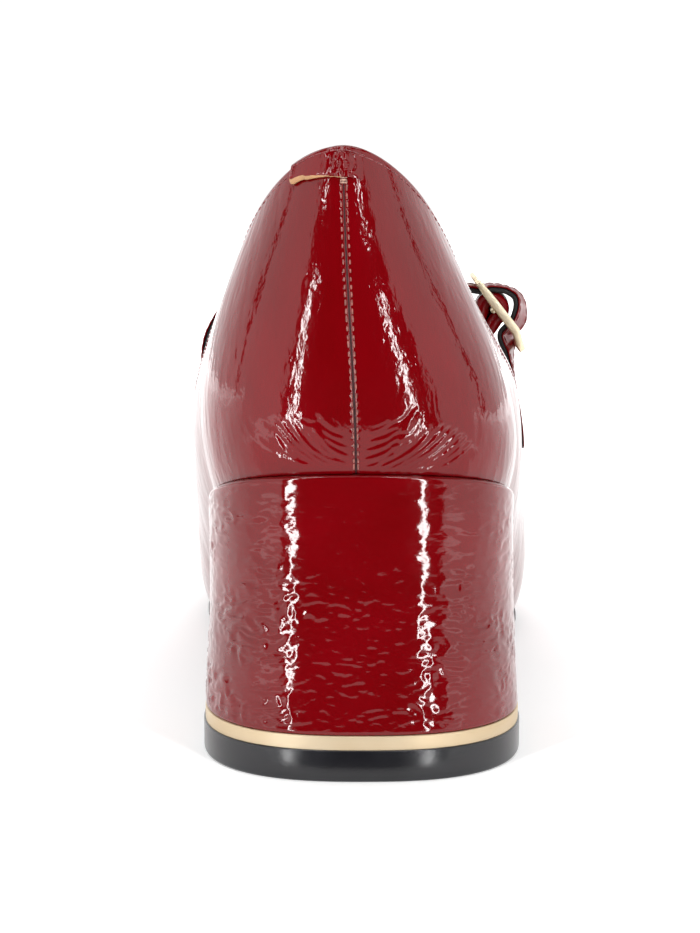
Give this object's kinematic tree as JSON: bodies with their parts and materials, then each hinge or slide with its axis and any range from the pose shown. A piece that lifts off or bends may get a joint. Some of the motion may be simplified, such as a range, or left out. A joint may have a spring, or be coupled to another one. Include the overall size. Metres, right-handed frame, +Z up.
{
  "type": "mary jane shoe",
  "caption": "Patent leather mary jane pump with a block heel and a buckled instep strap, for the right foot.",
  "frame": {"origin": "middle of the heel's flat foot, on the floor", "axes": "+Z up, -Y towards the toe, +X towards the medial side of this right shoe"},
  "size_m": [0.08, 0.2325, 0.1178],
  "materials": {
    "patent": "dark red crinkled patent leather, high gloss",
    "sole": "black, satin, finely textured",
    "sock": "smooth tan lining leather",
    "band_metal": "polished pale gold plate",
    "heel_tip": "black, satin",
    "buckle_metal": "polished pale gold plate"
  },
  "bodies": {
    "root": {"upper": "patent", "outsole": "sole", "insole": "sock", "heel_block": "patent", "heel_band": "band_metal", "top_piece": "heel_tip", "instep_strap": "patent", "buckle_strap": "patent", "buckle_frame": "buckle_metal", "buckle_prong": "buckle_metal", "back_tab": "patent"}
  },
  "joints": []
}
